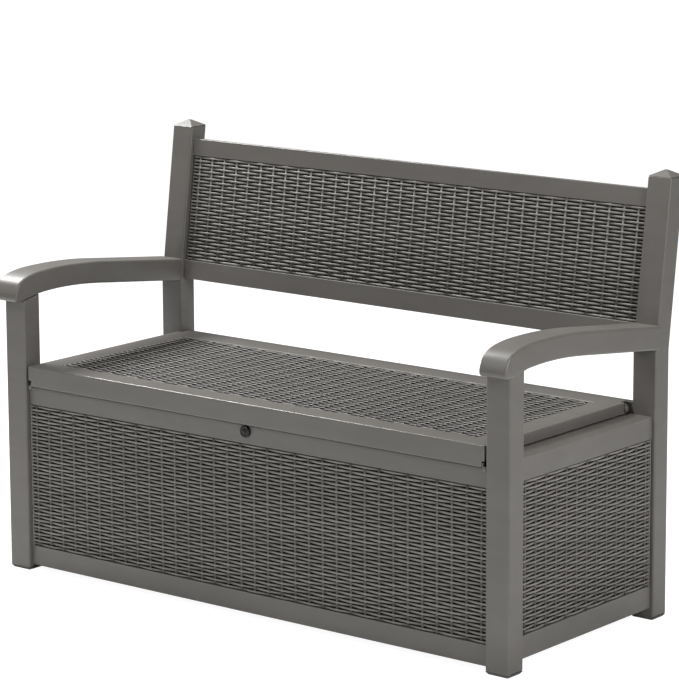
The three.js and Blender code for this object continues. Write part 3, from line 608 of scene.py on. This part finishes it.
def lock():
    """Lock face: a lacquered ring round the plug, with a keyway down the plug's middle."""
    low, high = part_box("lock_body")
    origin = Vector(((low.x + high.x) / 2, low.y, (low.z + high.z) / 2))
    length = high.y - low.y
    head = (high.z - low.z) / 2
    bore = 6.3 * MM
    rim = [(9.0 * MM, -length), (9.0 * MM, -5.8 * MM), (head, -5.6 * MM), (head, -2.0 * MM),
           (head - 0.5 * MM, -0.9 * MM), (head - 1.6 * MM, -0.1 * MM), (head - 2.6 * MM, 0),
           (head - 3.2 * MM, -0.3 * MM), (head - 3.7 * MM, -1.1 * MM)]
    circle = [(bore * math.cos(a), bore * math.sin(a)) for a in (i * math.pi / 12 for i in range(24))]
    turned("lock_body_detail", origin, -Y, rim, (circle, 5 * MM), BLACK, "base",
           "lock_body", count=48)

    plug_low, plug_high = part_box("lock_plug")
    radius = (plug_high.z - plug_low.z) / 2
    reach = plug_high.y - plug_low.y
    front = Vector((origin.x, plug_low.y, origin.z))
    face = [(radius, -reach), (radius, -1.1 * MM), (radius - 0.3 * MM, -0.4 * MM),
            (radius - 0.9 * MM, 0)]
    keyway = [(-0.6, -4.0), (0.6, -4.0), (0.6, -1.0), (1.1, -1.0), (1.1, 1.0), (0.6, 1.0), (0.6, 4.0),
              (-0.6, 4.0)]
    slot = [(u * MM, v * MM) for u, v in keyway]
    turned("lock_plug_detail", front, -Y, face, (slot, 4 * MM), BLACK, "lock_cylinder",
           "lock_plug", count=40)


# ------------------------------------------------------------------ studio
BACKDROP = 1.1  # brightness of the white that the camera sees behind everything
ROOM_LIGHT = 0.2  # soft light from all round
LAMPS = (  # name, place, side of the square, watts
    ("key", (-2.6, 0.15, 3.2), 1.3, 190),
    ("top", (0.3, 0.2, 3.6), 1.6, 60),
    ("right", (2.8, -0.6, 1.5), 0.9, 42),
    ("front", (-0.9, -3.0, 3.5), 1.6, 50),
)


def studio():
    scene = bpy.context.scene
    scene.view_settings.view_transform = "Standard"
    bpy.ops.mesh.primitive_plane_add(size=60, location=(0, 0, 0))
    floor = bpy.context.object
    floor.name = "floor"
    floor.data.materials.append(studio_floor())
    world = bpy.data.worlds.new("studio")
    scene.world = world
    world.use_nodes = True
    tree = world.node_tree
    backdrop = tree.nodes["Background"]
    backdrop.inputs["Color"].default_value = (1, 1, 1, 1)
    backdrop.inputs["Strength"].default_value = BACKDROP
    room = tree.nodes.new("ShaderNodeBackground")
    room.inputs["Color"].default_value = (0.97, 0.98, 1.0, 1)
    room.inputs["Strength"].default_value = ROOM_LIGHT
    seen = tree.nodes.new("ShaderNodeLightPath")
    choose = tree.nodes.new("ShaderNodeMixShader")
    tree.links.new(seen.outputs["Is Camera Ray"], choose.inputs[0])
    tree.links.new(room.outputs[0], choose.inputs[1])
    tree.links.new(backdrop.outputs[0], choose.inputs[2])
    tree.links.new(choose.outputs[0], tree.nodes["World Output"].inputs["Surface"])
    for name, place, size, power in LAMPS:
        lamp(name, place, size, power)


def lamp(name, place, size, power):
    light = bpy.data.lights.new(name, "AREA")
    light.shape = "SQUARE"
    light.size = size
    light.energy = power
    lamp_object = bpy.data.objects.new(name, light)
    bpy.context.scene.collection.objects.link(lamp_object)
    lamp_object.location = place
    aim = Vector((0, 0, 0.4)) - Vector(place)
    lamp_object.rotation_mode = "QUATERNION"
    lamp_object.rotation_quaternion = aim.to_track_quat("-Z", "Y")


CAMERA_PLACE = (4.129, -5.1134, 1.8677)  # fitted to the photograph, as are the next five
CAMERA_YAW = math.radians(38.76)
CAMERA_PITCH = math.radians(10.329)
CAMERA_ROLL = math.radians(-0.265)
CAMERA_LENS = 170.39
CAMERA_SHIFT = -0.0985


def camera():
    yaw, pitch, roll = CAMERA_YAW, CAMERA_PITCH, CAMERA_ROLL
    forward = Vector((-math.sin(yaw) * math.cos(pitch), math.cos(yaw) * math.cos(pitch), -math.sin(pitch)))
    level = Vector((math.cos(yaw), math.sin(yaw), 0))
    above = level.cross(forward)
    right = level * math.cos(roll) + above * math.sin(roll)
    up = above * math.cos(roll) - level * math.sin(roll)
    data = bpy.data.cameras.new("camera")
    data.lens = CAMERA_LENS
    data.sensor_width = 36
    data.shift_y = CAMERA_SHIFT
    data.clip_end = 100
    cam = bpy.data.objects.new("camera", data)
    bpy.context.scene.collection.objects.link(cam)
    turn = Matrix((right, up, -forward)).transposed().to_4x4()
    cam.matrix_world = Matrix.Translation(CAMERA_PLACE) @ turn
    bpy.context.scene.camera = cam


camera()
studio()
soften_resin_nodes()
soften_metal_nodes()
box_fields()
lid_field()
backrest_fields()
screws()
rod_caps()
lock()
